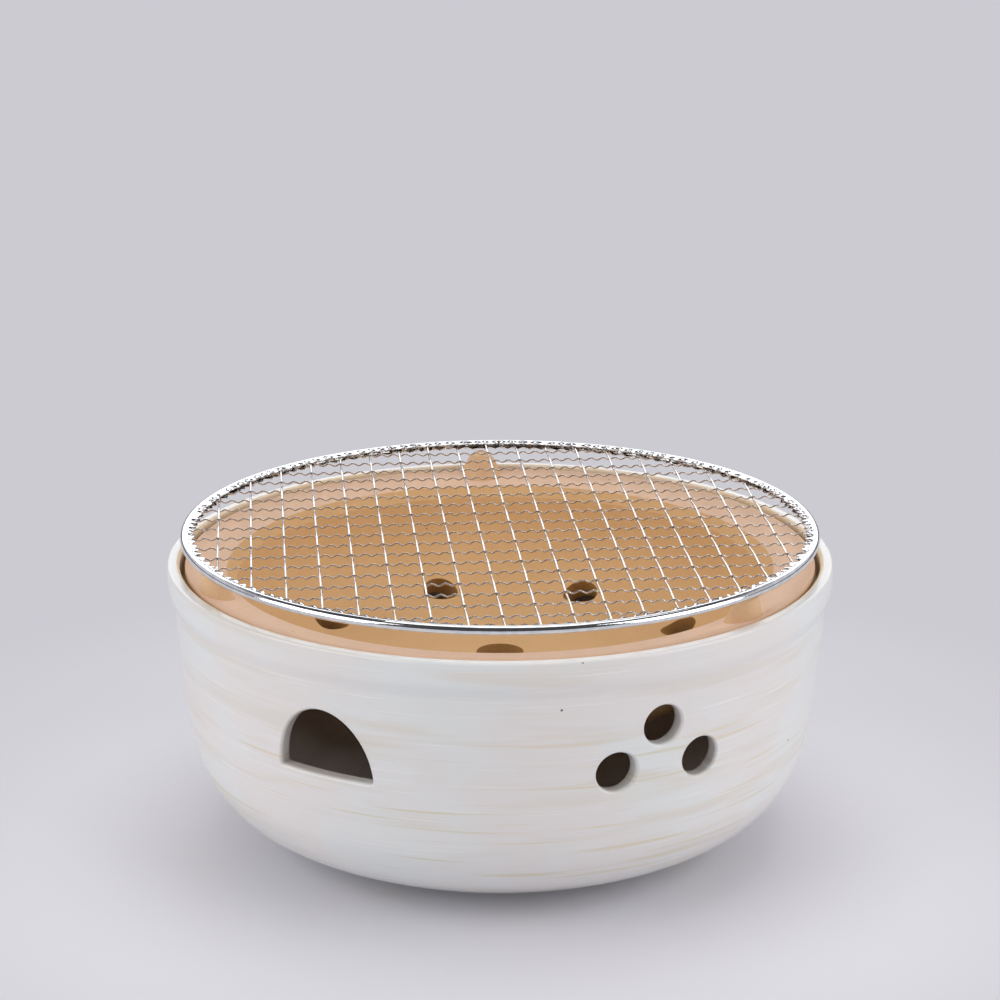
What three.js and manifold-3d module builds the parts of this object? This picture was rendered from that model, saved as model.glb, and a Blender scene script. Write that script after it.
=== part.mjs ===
// A tabletop charcoal grill: a glazed outer bowl that holds water, a clay fire bowl that
// drops into its rebate, and a round wire net that lies on the fire bowl's three lugs.
// Millimetres, +Z up. The origin is on the table, under the middle of the outer bowl.
import * as THREE from 'three';
import { mergeVertices } from 'three/addons/utils/BufferGeometryUtils.js';
import Module from 'manifold-3d';

const wasm = await Module();
wasm.setup();

// Outer bowl: overall sizes
const bowlRimDiameter = 250;
const bowlHeight = 108;
const bowlWall = 6;
const bowlFloor = 7;

// Outer bowl: foot ring
const bowlFootDiameter = 140;
const bowlFootHeight = 2.6;
const bowlFootWidth = 9;
const bowlFootHollow = 3.4;

// Outer bowl: lip, rebate and shelf
const lipHeight = 13.5;
const lipStep = 2.3;
const lipRound = 1.5;
const rebateWall = 4.7;
const shelfDepth = 10.5;
const shelfWidth = 9.9;
const shelfThickness = 5.5;
const shelfRound = 1.8;
const coveHeight = 9;

// Outer bowl: the outline from foot to lip, each point as [share of the wall's radius, share of its height]
const bowlOutlineShares = [
  [0.599, 0], [0.731, 0.066], [0.849, 0.161], [0.926, 0.303],
  [0.960, 0.468], [0.977, 0.656], [0.992, 0.846], [1, 1],
];

// Outer bowl: vents, with angles in degrees anticlockwise from +X
const archWidth = 38;
const archHeight = 24.8;
const archSillDepth = 49;
const archAngles = [239.2, 122.5];
const ventHoleDiameter = 14.6;
const ventHoleSpacing = 33.2;
const ventHoleDrop = 15.4;
const ventTopDepth = 28.3;
const ventTrioAngles = [297.6, 53.2];

// Fire bowl: seat and body
const seatGap = 0.3;
const collarClearance = 1.8;
const bodyClearance = 3;
const rimSink = 0.4;
const bodyDepth = 50.2;
const fireWall = 8.5;
const hearthDepth = 39.5;

// Fire bowl: rim
const mouthDiameter = 206;
const rimSlopeDrop = 3.3;
const rimRound = 1.6;
const collarTaperHeight = 4.3;
const collarTaperWidth = 4;

// Fire bowl: foot ring
const fireFootDiameter = 90;
const fireFootHeight = 3;
const fireFootWidth = 9;
const fireFootHollow = 7;

// Fire bowl: the outline from foot to collar, each point as [share of the body's radius, share of its height]
const fireOutlineShares = [
  [0.503, 0], [0.596, 0.064], [0.726, 0.222], [0.847, 0.411],
  [0.925, 0.602], [0.972, 0.794], [1, 1],
];

// Fire bowl: air holes
const middleHoleDiameter = 18;
const airHoleDiameter = 14;
const airHoleCircleDiameter = 149;
const airHoleTilt = 30;
const airHoleCount = 8;
const airHoleTurn = 19;

// Fire bowl: lugs that carry the net
const lugHeight = 8;
const lugWidth = 17;
const lugOuterInset = 1;
const lugBaseThickness = 13;
const lugTopThickness = 7;
const lugRoot = 2.6;
const lugAngles = [94, 204, 320];
// Each level of a lug as [share of its height, share of its width]
const lugOutlineShares = [[0, 1], [0.42, 0.86], [0.75, 0.67], [0.93, 0.42], [1, 0.25]];

// Net
const netOverhang = 1.5;
const netGap = 0.3;
const bandWidth = 5.5;
const bandSheet = 0.35;
const bandCorner = 1;
const coreGap = 0.3;
const straightWireDiameter = 0.9;
const crimpedWireDiameter = 0.8;
const weaveGap = 0.15;
const slotGap = 0.05;
const wireTuck = 1.8;
const netTurn = 5;
const straightWireCount = 18;
const crimpedWireCount = 18;
const wavesPerOpening = 1.5;
// The first and last wires stand this share of one opening, both sides together, in from the band
const netMarginShare = 0.77;
// The straight wires stand to one side of the middle by this share of one opening
const straightShiftShare = -0.164;

// Faceting, as counts
const bowlTurns = 48;
const netTurns = 44;
const bowlOutlineSteps = 10;
const fireOutlineSteps = 9;
const cornerSteps = 2;
const holeSides = 12;
const archSides = 14;
const lugSides = 12;
const straightWireSides = 6;
const coreWireSides = 6;

// How far each cutter runs past what it cuts
const overrun = 8;

// Places worked out from the sizes above
const rimRadius = bowlRimDiameter / 2;
const rebateRadius = rimRadius - rebateWall;
const noseRadius = rebateRadius - shelfWidth;
const shelfZ = bowlHeight - shelfDepth;
const bowlWallRadius = rimRadius - lipStep;
const bowlWallTop = bowlHeight - lipHeight;

const collarRadius = rebateRadius - collarClearance;
const bodyRadius = noseRadius - bodyClearance;
const collarHeight = shelfDepth - seatGap - rimSink;
const fireBottomZ = shelfZ + seatGap - bodyDepth;
const fireRim = bodyDepth + collarHeight;
const hearthZ = fireRim - hearthDepth;
const mouthRadius = mouthDiameter / 2;

const netRadius = collarRadius + netOverhang;
const bandInnerRadius = netRadius - bandWidth;
const crimpedHalf = crimpedWireDiameter * Math.sqrt(Math.PI) / 4;
const crimpRise = straightWireDiameter / 2 + weaveGap + crimpedHalf;
const slotHalf = crimpRise + crimpedHalf + slotGap;
const bandHalf = slotHalf + bandSheet;
const wireEndRadius = bandInnerRadius + wireTuck;
const opening = 2 * bandInnerRadius / (straightWireCount + netMarginShare);
const firstStraight = (straightShiftShare - (straightWireCount - 1) / 2) * opening;
const halfWave = opening / (2 * wavesPerOpening);
const netZ = fireBottomZ + fireRim + lugHeight + netGap + bandHalf;

const clay = new THREE.MeshStandardMaterial({ color: 0xc69d6c, roughness: 0.85, metalness: 0 });
const glaze = new THREE.MeshStandardMaterial({ color: 0xd8d8dc, roughness: 0.35, metalness: 0 });
const chrome = new THREE.MeshStandardMaterial({ color: 0xe4e6e8, roughness: 0.15, metalness: 1 });

function radians(degrees) {
  return degrees * Math.PI / 180;
}

// A closed three.js geometry as a solid that can be joined and cut
function solidOf(geometry) {
  const bare = geometry.clone();
  bare.deleteAttribute('normal');
  bare.deleteAttribute('uv');
  const merged = mergeVertices(bare);
  const corners = merged.index.array;
  const kept = [];
  for (let i = 0; i < corners.length; i += 3) {
    const [a, b, c] = [corners[i], corners[i + 1], corners[i + 2]];
    if (a !== b && b !== c && c !== a) kept.push(a, b, c);
  }
  return new wasm.Manifold(new wasm.Mesh({
    numProp: 3,
    vertProperties: merged.attributes.position.array,
    triVerts: new Uint32Array(kept),
  }));
}

function geometryOf(solid) {
  const result = solid.getMesh();
  const geometry = new THREE.BufferGeometry();
  geometry.setAttribute('position', new THREE.BufferAttribute(result.vertProperties, 3));
  geometry.setIndex(new THREE.BufferAttribute(result.triVerts, 1));
  geometry.computeVertexNormals();
  return geometry;
}

// Turns a profile of [radius, height] points about the upright axis
function revolve(profile, turns) {
  const points = profile.map(([radius, height]) => new THREE.Vector2(radius, height));
  const geometry = new THREE.LatheGeometry(points, turns);
  geometry.rotateX(Math.PI / 2);
  return geometry;
}

// A smooth outline through points given as shares of a radius and of a height above a base
function outline(shares, radius, base, height, steps) {
  const points = shares.map(([out, up]) => new THREE.Vector2(out * radius, base + up * height));
  return new THREE.SplineCurve(points).getPoints(steps).map((point) => [point.x, point.y]);
}

// The same outline moved inwards by the wall's thickness
function inset(profile, wall) {
  return profile.map(([radius, height], i) => {
    const before = profile[Math.max(i - 1, 0)];
    const after = profile[Math.min(i + 1, profile.length - 1)];
    const run = new THREE.Vector2(after[0] - before[0], after[1] - before[1]).normalize();
    return [radius - run.y * wall, height + run.x * wall];
  });
}

// Keeps the part of an outline above a level, with a point put in where it crosses that level
function above(profile, level) {
  const kept = profile.filter(([, height]) => height > level);
  const first = profile.indexOf(kept[0]);
  if (first === 0) return [[kept[0][0], level], ...kept];
  const [radiusBelow, heightBelow] = profile[first - 1];
  const [radiusAbove, heightAbove] = kept[0];
  const share = (level - heightBelow) / (heightAbove - heightBelow);
  return [[radiusBelow + share * (radiusAbove - radiusBelow), level], ...kept];
}

// A rounded corner between two edges, from one angle to another in degrees
function arc(centreRadius, centreHeight, size, from, to, steps = cornerSteps) {
  const points = [];
  for (let i = 0; i <= steps; i += 1) {
    const angle = radians(from + (to - from) * i / steps);
    points.push([centreRadius + size * Math.cos(angle), centreHeight + size * Math.sin(angle)]);
  }
  return points;
}

// Stands a cutter drawn along +Z at a height on the bowl's wall, pointing outwards
function aimOutwards(geometry, angle, height) {
  geometry.rotateZ(Math.PI / 2);
  geometry.rotateY(Math.PI / 2);
  geometry.rotateZ(radians(angle));
  geometry.translate(0, 0, height);
  return geometry;
}

function archCutter(angle) {
  const shape = new THREE.Shape();
  shape.absellipse(0, 0, archWidth / 2, archHeight, 0, Math.PI);
  const geometry = new THREE.ExtrudeGeometry(shape, {
    depth: rimRadius + overrun,
    bevelEnabled: false,
    curveSegments: archSides,
  });
  return solidOf(aimOutwards(geometry, angle, bowlHeight - archSillDepth));
}

function ventHoleCutter(angle, aside, depth) {
  const radius = ventHoleDiameter / 2;
  const geometry = new THREE.CylinderGeometry(radius, radius, rimRadius + overrun, holeSides);
  geometry.rotateX(Math.PI / 2);
  geometry.translate(aside, 0, (rimRadius + overrun) / 2);
  return solidOf(aimOutwards(geometry, angle, bowlHeight - depth));
}

function outerBowl() {
  const footRadius = bowlFootDiameter / 2;
  const hollowRadius = footRadius - bowlFootWidth;
  const floorZ = bowlFootHollow + bowlFloor;
  const wallHeight = bowlWallTop - bowlFootHeight;
  const outside = outline(
    bowlOutlineShares, bowlWallRadius, bowlFootHeight, wallHeight, bowlOutlineSteps);
  const coveZ = shelfZ - shelfThickness - coveHeight;
  const inside = above(inset(outside, bowlWall), floorZ).filter(([, height]) => height < coveZ);
  const profile = [
    [0, bowlFootHollow],
    [hollowRadius - bowlFootHollow, bowlFootHollow],
    [hollowRadius, 0],
    [footRadius, 0],
    [footRadius, bowlFootHeight / 2],
    ...outside,
    [rimRadius, bowlWallTop + lipStep],
    ...arc(rimRadius - lipRound, bowlHeight - lipRound, lipRound, 0, 90),
    [rebateRadius + rebateWall / 4, bowlHeight],
    [rebateRadius, bowlHeight - lipRound / 2],
    [rebateRadius, shelfZ],
    ...arc(noseRadius + shelfRound, shelfZ - shelfRound, shelfRound, 90, 180),
    [noseRadius, shelfZ - shelfThickness],
    ...inside.reverse(),
    [0, floorZ],
  ];
  let bowl = solidOf(revolve(profile, bowlTurns));
  archAngles.forEach((angle) => {
    bowl = bowl.subtract(archCutter(angle));
  });
  ventTrioAngles.forEach((angle) => {
    bowl = bowl.subtract(ventHoleCutter(angle, 0, ventTopDepth));
    bowl = bowl.subtract(ventHoleCutter(angle, ventHoleSpacing / 2, ventTopDepth + ventHoleDrop));
    bowl = bowl.subtract(ventHoleCutter(angle, -ventHoleSpacing / 2, ventTopDepth + ventHoleDrop));
  });
  const mesh = new THREE.Mesh(geometryOf(bowl), glaze);
  mesh.name = 'outer_bowl';
  return mesh;
}

// A tongue of clay that rises from the sloping rim and narrows to a rounded top
function lug(angle) {
  const outer = collarRadius - lugOuterInset;
  const base = fireRim - rimSlopeDrop - lugRoot;
  const rise = fireRim + lugHeight - base;
  const corners = [];
  lugOutlineShares.forEach(([up, across]) => {
    const thickness = lugBaseThickness + (lugTopThickness - lugBaseThickness) * up;
    for (let i = 0; i < lugSides; i += 1) {
      const turn = 2 * Math.PI * i / lugSides;
      const radial = outer - thickness / 2 + thickness / 2 * Math.cos(turn);
      const sideways = lugWidth / 2 * across * Math.sin(turn);
      corners.push(radial, sideways, base + rise * up);
    }
  });
  const levels = lugOutlineShares.length;
  const faces = [];
  for (let level = 0; level < levels - 1; level += 1) {
    for (let i = 0; i < lugSides; i += 1) {
      const next = (i + 1) % lugSides;
      const low = level * lugSides;
      const high = low + lugSides;
      faces.push(low + i, low + next, high + next, low + i, high + next, high + i);
    }
  }
  const top = (levels - 1) * lugSides;
  for (let i = 1; i < lugSides - 1; i += 1) {
    faces.push(0, i + 1, i);
    faces.push(top, top + i, top + i + 1);
  }
  const geometry = new THREE.BufferGeometry();
  geometry.setAttribute('position', new THREE.Float32BufferAttribute(corners, 3));
  geometry.setIndex(faces);
  geometry.rotateZ(radians(angle));
  return solidOf(geometry);
}

function airHole(angle) {
  const radius = airHoleDiameter / 2;
  const geometry = new THREE.CylinderGeometry(radius, radius, 2 * (fireWall + overrun), holeSides);
  geometry.rotateX(Math.PI / 2);
  geometry.rotateY(-radians(airHoleTilt));
  geometry.translate(airHoleCircleDiameter / 2, 0, hearthZ);
  geometry.rotateZ(radians(angle));
  return solidOf(geometry);
}

function fireBowl() {
  const footRadius = fireFootDiameter / 2;
  const hollowRadius = footRadius - fireFootWidth;
  const bodyHeight = bodyDepth - fireFootHeight;
  const outside = outline(
    fireOutlineShares, bodyRadius, fireFootHeight, bodyHeight, fireOutlineSteps);
  const throat = fireRim - rimSlopeDrop;
  const inside = above(inset(outside, fireWall), hearthZ);
  const profile = [
    [0, fireFootHollow],
    [hollowRadius - fireFootHollow / 2, fireFootHollow],
    [hollowRadius, 0],
    [footRadius, 0],
    [footRadius, fireFootHeight / 2],
    ...outside,
    [collarRadius - collarTaperWidth, bodyDepth],
    [collarRadius - collarTaperWidth / 4, bodyDepth + collarTaperHeight / 2],
    [collarRadius, bodyDepth + collarTaperHeight],
    ...arc(collarRadius - rimRound, fireRim - rimRound, rimRound, 0, 90),
    [mouthRadius, throat],
    ...inside.reverse(),
    [0, hearthZ],
  ];
  let bowl = solidOf(revolve(profile, bowlTurns));
  lugAngles.forEach((angle) => {
    bowl = bowl.add(lug(angle));
  });
  for (let i = 0; i < airHoleCount; i += 1) {
    bowl = bowl.subtract(airHole(airHoleTurn + 360 * i / airHoleCount));
  }
  const middle = new THREE.CylinderGeometry(
    middleHoleDiameter / 2, middleHoleDiameter / 2, 2 * hearthZ, holeSides);
  middle.rotateX(Math.PI / 2);
  middle.translate(0, 0, hearthZ);
  bowl = bowl.subtract(solidOf(middle));
  const mesh = new THREE.Mesh(geometryOf(bowl), clay);
  mesh.name = 'fire_bowl';
  mesh.position.z = fireBottomZ;
  return mesh;
}

// The folded strip: a channel that opens inwards
function rimBand() {
  const back = netRadius - bandSheet;
  const profile = [
    [bandInnerRadius, slotHalf],
    [back - bandCorner, slotHalf],
    [back, slotHalf - bandCorner],
    [back, bandCorner - slotHalf],
    [back - bandCorner, -slotHalf],
    [bandInnerRadius, -slotHalf],
    [bandInnerRadius, -bandHalf],
    [netRadius - bandCorner, -bandHalf],
    [netRadius, bandCorner - bandHalf],
    [netRadius, bandHalf - bandCorner],
    [netRadius - bandCorner, bandHalf],
    [bandInnerRadius, bandHalf],
    [bandInnerRadius, slotHalf],
  ];
  const mesh = new THREE.Mesh(revolve(profile, netTurns), chrome);
  mesh.name = 'net_rim_band';
  return mesh;
}

function coreWire() {
  const radius = slotHalf - coreGap;
  const centre = netRadius - bandSheet - coreGap - radius;
  const profile = arc(centre, 0, radius, -180, 180, coreWireSides);
  const mesh = new THREE.Mesh(revolve(profile, netTurns), chrome);
  mesh.name = 'net_core_wire';
  return mesh;
}

function halfChord(offset) {
  return Math.sqrt(wireEndRadius ** 2 - offset ** 2);
}

function straightWire(number) {
  const offset = firstStraight + number * opening;
  const radius = straightWireDiameter / 2;
  const length = 2 * halfChord(offset);
  const geometry = new THREE.CylinderGeometry(radius, radius, length, straightWireSides);
  const mesh = new THREE.Mesh(geometry, chrome);
  mesh.name = `net_straight_wire_${String(number + 1).padStart(2, '0')}`;
  mesh.position.x = offset;
  return mesh;
}

// How far a crimped wire stands above the net's middle at a place along its length. It crests
// over one straight wire and dips under the next.
function crimp(along, number) {
  const step = (along - firstStraight) / halfWave;
  const before = Math.floor(step);
  const sign = (before + number) % 2 === 0 ? 1 : -1;
  return sign * crimpRise * (1 - 2 * (step - before));
}

function crimpedWire(number) {
  const offset = (number - (crimpedWireCount - 1) / 2) * opening;
  const end = halfChord(offset);
  const firstStep = Math.ceil((crimpedHalf - end - firstStraight) / halfWave);
  const lastStep = Math.floor((end - crimpedHalf - firstStraight) / halfWave);
  const places = [-end];
  for (let step = firstStep; step <= lastStep; step += 1) {
    places.push(firstStraight + step * halfWave);
  }
  places.push(end);
  const corners = [];
  places.forEach((along) => {
    const rise = crimp(along, number);
    corners.push(along, -crimpedHalf, rise - crimpedHalf);
    corners.push(along, crimpedHalf, rise - crimpedHalf);
    corners.push(along, crimpedHalf, rise + crimpedHalf);
    corners.push(along, -crimpedHalf, rise + crimpedHalf);
  });
  const faces = [0, 2, 1, 0, 3, 2];
  for (let ring = 0; ring < places.length - 1; ring += 1) {
    for (let i = 0; i < 4; i += 1) {
      const here = ring * 4 + i;
      const beside = ring * 4 + (i + 1) % 4;
      faces.push(here, beside, beside + 4, here, beside + 4, here + 4);
    }
  }
  const last = (places.length - 1) * 4;
  faces.push(last, last + 1, last + 2, last, last + 2, last + 3);
  const geometry = new THREE.BufferGeometry();
  geometry.setAttribute('position', new THREE.Float32BufferAttribute(corners, 3));
  geometry.setIndex(faces);
  geometry.computeVertexNormals();
  const mesh = new THREE.Mesh(geometry, chrome);
  mesh.name = `net_crimped_wire_${String(number + 1).padStart(2, '0')}`;
  mesh.position.y = offset;
  return mesh;
}

function net() {
  const group = new THREE.Group();
  group.add(rimBand(), coreWire());
  for (let number = 0; number < straightWireCount; number += 1) group.add(straightWire(number));
  for (let number = 0; number < crimpedWireCount; number += 1) group.add(crimpedWire(number));
  group.position.z = netZ;
  group.rotation.z = radians(netTurn);
  return group;
}

const grill = new THREE.Group();
grill.add(outerBowl(), fireBowl(), net());

export default grill;
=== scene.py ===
# A tabletop charcoal grill in three parts: a glazed bowl that holds water, a clay fire bowl that
# drops into its rim, and a round wire net on top. Metres, +Z up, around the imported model.
import math

import bmesh
import bpy
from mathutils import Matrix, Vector, noise


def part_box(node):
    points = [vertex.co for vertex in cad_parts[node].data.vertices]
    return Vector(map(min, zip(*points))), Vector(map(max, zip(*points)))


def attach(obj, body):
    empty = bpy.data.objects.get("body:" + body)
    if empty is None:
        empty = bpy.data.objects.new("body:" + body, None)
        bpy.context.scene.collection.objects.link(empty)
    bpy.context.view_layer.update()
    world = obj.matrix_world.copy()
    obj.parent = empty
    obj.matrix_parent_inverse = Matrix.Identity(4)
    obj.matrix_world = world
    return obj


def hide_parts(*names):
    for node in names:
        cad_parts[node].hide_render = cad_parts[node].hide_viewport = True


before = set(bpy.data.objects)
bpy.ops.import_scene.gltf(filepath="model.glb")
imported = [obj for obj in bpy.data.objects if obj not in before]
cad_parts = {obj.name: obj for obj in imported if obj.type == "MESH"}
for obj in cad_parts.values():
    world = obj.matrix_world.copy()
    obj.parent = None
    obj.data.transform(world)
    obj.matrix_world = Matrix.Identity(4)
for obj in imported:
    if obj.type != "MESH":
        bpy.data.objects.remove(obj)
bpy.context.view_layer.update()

# Outer bowl: a thrown stoneware pot with a foot ring, a lip and a rebate for the fire bowl.
# It is brushed with white glaze, and the rebate is wiped bare so that the clay seats do not stick.
# The vents are cut through the wet wall, and the glaze rounds their edges.
MM = 0.001
bowl_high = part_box("outer_bowl")[1]
bowl_radius = bowl_high.x
bowl_top = bowl_high.z
bowl_wall = 6 * MM
bowl_floor = 7 * MM
foot_radius = 70 * MM
foot_width = 9 * MM
foot_height = 2.6 * MM
foot_side_share = 0.7
foot_hollow = 3.4 * MM
foot_round = 1.2 * MM
lip_height = 13.5 * MM
lip_step = 2.3 * MM
lip_round = 1.2 * MM
step_height = 5 * MM
step_round = 7 * MM
rebate_wall = 4.7 * MM
shelf_depth = 10.5 * MM
shelf_width = 9.9 * MM
shelf_thickness = 5.5 * MM
shelf_round = 2.2 * MM
shelf_corner = 1.5 * MM
cove_height = 9 * MM
floor_margin = 1 * MM
wall_steps = 60
bowl_shares = [
    (0.599, 0), (0.731, 0.066), (0.849, 0.161), (0.926, 0.303),
    (0.960, 0.468), (0.977, 0.656), (0.992, 0.846), (1, 1),
]


def round_angles(count):
    """That many even angles round a circle."""
    return [2 * math.pi * i / count for i in range(count)]


def smooth_line(points, steps):
    """A smooth line through the points, as many steps long as asked."""
    spans = len(points) - 1
    line = []
    for i in range(steps + 1):
        place = spans * i / steps
        k = min(int(place), spans - 1)
        t = place - k
        a, b = points[max(k - 1, 0)], points[k]
        c, d = points[k + 1], points[min(k + 2, spans)]
        line.append(tuple(
            b[j] + t * (c[j] - a[j]) / 2
            + t * t * (2 * a[j] - 5 * b[j] + 4 * c[j] - d[j]) / 2
            + t ** 3 * (3 * b[j] - a[j] - 3 * c[j] + d[j]) / 2
            for j in (0, 1)))
    return line


def round_corners(corners, closed=False, steps=6):
    """A line of (x, y, rounding) corners with each corner rounded off."""
    line = []
    count = len(corners)
    longest_share = 0.49
    for i, (x, y, rounding) in enumerate(corners):
        here = Vector((x, y))
        if rounding == 0 or (not closed and i in (0, count - 1)):
            line.append((x, y))
            continue
        back = Vector(corners[i - 1][:2]) - here
        ahead = Vector(corners[(i + 1) % count][:2]) - here
        turn = math.pi - back.angle(ahead)
        longest = longest_share * min(back.length, ahead.length)
        reach = min(rounding * math.tan(turn / 2), longest)
        start = here + reach * back.normalized()
        end = here + reach * ahead.normalized()
        for step in range(steps + 1):
            t = step / steps
            point = (1 - t) ** 2 * start + 2 * t * (1 - t) * here + t * t * end
            line.append((point.x, point.y))
    return line


def inset_line(line, distance):
    """The line moved to its left by a distance."""
    moved = []
    for i, (x, y) in enumerate(line):
        before, after = line[max(i - 1, 0)], line[min(i + 1, len(line) - 1)]
        run = Vector((after[0] - before[0], after[1] - before[1])).normalized()
        moved.append((x - run.y * distance, y + run.x * distance))
    return moved


def radius_at(line, height):
    """How far from the axis a line of (radius, height) points runs at a height."""
    for (r0, z0), (r1, z1) in zip(line, line[1:]):
        if z0 <= height <= z1:
            return r0 + (r1 - r0) * (height - z0) / (z1 - z0)
    return line[-1][0] if height > line[-1][1] else line[0][0]


def add_node(tree, kind, inputs=None, **settings):
    """Adds a node. An input given as a socket, or as a node for its first output, is linked, and
    any other is set."""
    node = tree.nodes.new(kind)
    for name, value in settings.items():
        setattr(node, name, value)
    for key, value in (inputs or {}).items():
        if isinstance(value, bpy.types.Node):
            value = value.outputs[0]
        if isinstance(value, bpy.types.NodeSocket):
            tree.links.new(value, node.inputs[key])
        else:
            node.inputs[key].default_value = value
    return node


def start_tree(name, sizes):
    """A geometry tree with one geometry in, one out, and named inputs for its sizes and material.
    The sizes are listed by their kind."""
    tree = bpy.data.node_groups.new(name, "GeometryNodeTree")
    tree.interface.new_socket("Geometry", in_out="OUTPUT", socket_type="NodeSocketGeometry")
    for kind, labels in {"Geometry": ["Geometry"], **sizes, "Material": ["Material"]}.items():
        for label in labels:
            tree.interface.new_socket(label, in_out="INPUT", socket_type="NodeSocket" + kind)
    return tree, tree.nodes.new("NodeGroupInput").outputs


def end_tree(tree, geometry, material):
    """Ends a tree with real geometry, shaded smooth, in its material."""
    smooth = add_node(tree, "GeometryNodeSetShadeSmooth", {"Geometry": geometry})
    real = add_node(tree, "GeometryNodeRealizeInstances", {"Geometry": smooth})
    coated = add_node(tree, "GeometryNodeSetMaterial", {"Geometry": real, "Material": material})
    add_node(tree, "NodeGroupOutput", {0: coated})


def link_piece(name, mesh):
    """Puts a mesh in the scene as an object at the origin."""
    mesh.name = name
    piece = bpy.data.objects.new(name, mesh)
    bpy.context.scene.collection.objects.link(piece)
    return piece


def build(name, points, edges=(), faces=(), material=None):
    """A piece made of plain points, edges and faces."""
    mesh = bpy.data.meshes.new(name)
    mesh.from_pydata(points, edges, faces)
    if material:
        mesh.materials.append(material)
    return link_piece(name, mesh)


def settled_mesh(piece):
    """The mesh of an object with its modifiers applied. The object itself goes."""
    bpy.context.view_layer.update()
    graph = bpy.context.evaluated_depsgraph_get()
    mesh = bpy.data.meshes.new_from_object(piece.evaluated_get(graph), depsgraph=graph)
    bpy.data.objects.remove(piece)
    return mesh


def grow(name, tree, values, points=(), edges=()):
    """Runs a tree on a line of points and gives the result as a plain piece."""
    piece = build(name + "_line", points, edges)
    modifier = piece.modifiers.new(tree.name, "NODES")
    modifier.node_group = tree
    for item in tree.interface.items_tree:
        if item.in_out == "INPUT" and item.name in values:
            modifier[item.identifier] = values[item.name]
    return link_piece(name, settled_mesh(piece))


def hex_colour(text):
    """An sRGB hex colour as the linear one that a shader takes."""
    parts = [int(text[i:i + 2], 16) / 255 for i in (1, 3, 5)]
    linear = [c / 12.92 if c <= 0.04045 else ((c + 0.055) / 1.055) ** 2.4 for c in parts]
    return (*linear, 1)


def lay_over(tree, under, over, pattern, low, high):
    """Lays a hex colour over a colour where a pattern goes from low to high, with a soft edge."""
    share = add_node(tree, "ShaderNodeMapRange", {
        "Value": pattern, "From Min": low, "From Max": high}, interpolation_type="SMOOTHSTEP")
    return add_node(tree, "ShaderNodeMix", {
        0: share, 6: under, 7: hex_colour(over)}, data_type="RGBA").outputs[2]


def start_material(name):
    """A new material, and its node tree with nothing in it."""
    material = bpy.data.materials.new(name)
    material.use_nodes = True
    material.node_tree.nodes.clear()
    return material, material.node_tree


def end_material(tree, looks, relief, depth, strength):
    """Ends a material with one principled shader and a relief of a real depth."""
    bump = add_node(tree, "ShaderNodeBump", {
        "Height": relief, "Distance": depth, "Strength": strength})
    shader = add_node(tree, "ShaderNodeBsdfPrincipled", {**looks, "Normal": bump})
    add_node(tree, "ShaderNodeOutputMaterial", {"Surface": shader})


def mottled(tree, size, detail, roughness=0.5):
    """Noise that stays with the piece, with features of a real size."""
    place = add_node(tree, "ShaderNodeTexCoord").outputs["Object"]
    return add_node(tree, "ShaderNodeTexNoise", {
        "Vector": place, "Scale": 1 / size, "Detail": detail, "Roughness": roughness})


def wheel_marks(tree, height, length, detail, roughness=0.5):
    """Noise drawn out round the axis, as a brush or a finger leaves it on a turning pot."""
    place = add_node(tree, "ShaderNodeTexCoord").outputs["Object"]
    flat = add_node(tree, "ShaderNodeVectorMath", {0: place, 1: (1, 1, 0)}, operation="MULTIPLY")
    round_axis = add_node(tree, "ShaderNodeVectorMath", {0: flat}, operation="NORMALIZE")
    spread = add_node(tree, "ShaderNodeVectorMath",
                      {0: round_axis, "Scale": bowl_radius / length}, operation="SCALE")
    upright = add_node(tree, "ShaderNodeVectorMath",
                       {0: place, 1: (0, 0, 1 / height)}, operation="MULTIPLY")
    drawn_out = add_node(tree, "ShaderNodeVectorMath", {0: spread, 1: upright}, operation="ADD")
    return add_node(tree, "ShaderNodeTexNoise", {
        "Vector": drawn_out, "Scale": 1, "Detail": detail, "Roughness": roughness})


def scattered(tree, size, edge, middle, share):
    """Spots in a random share of cells of a real size: 1 in a spot, and 0 between them."""
    soft_pick = 0.02
    place = add_node(tree, "ShaderNodeTexCoord").outputs["Object"]
    cells = add_node(tree, "ShaderNodeTexVoronoi", {"Vector": place, "Scale": 1 / size})
    spot = add_node(tree, "ShaderNodeMapRange", {
        "Value": cells, "From Min": edge, "From Max": middle}, interpolation_type="SMOOTHSTEP")
    pick = add_node(tree, "ShaderNodeSeparateColor", {0: cells.outputs["Color"]})
    chosen = add_node(tree, "ShaderNodeMapRange", {
        "Value": pick, "From Min": 1 - share, "From Max": 1 + soft_pick - share},
        interpolation_type="SMOOTHSTEP")
    return add_node(tree, "ShaderNodeMath", {0: spot, 1: chosen}, operation="MULTIPLY")


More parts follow.
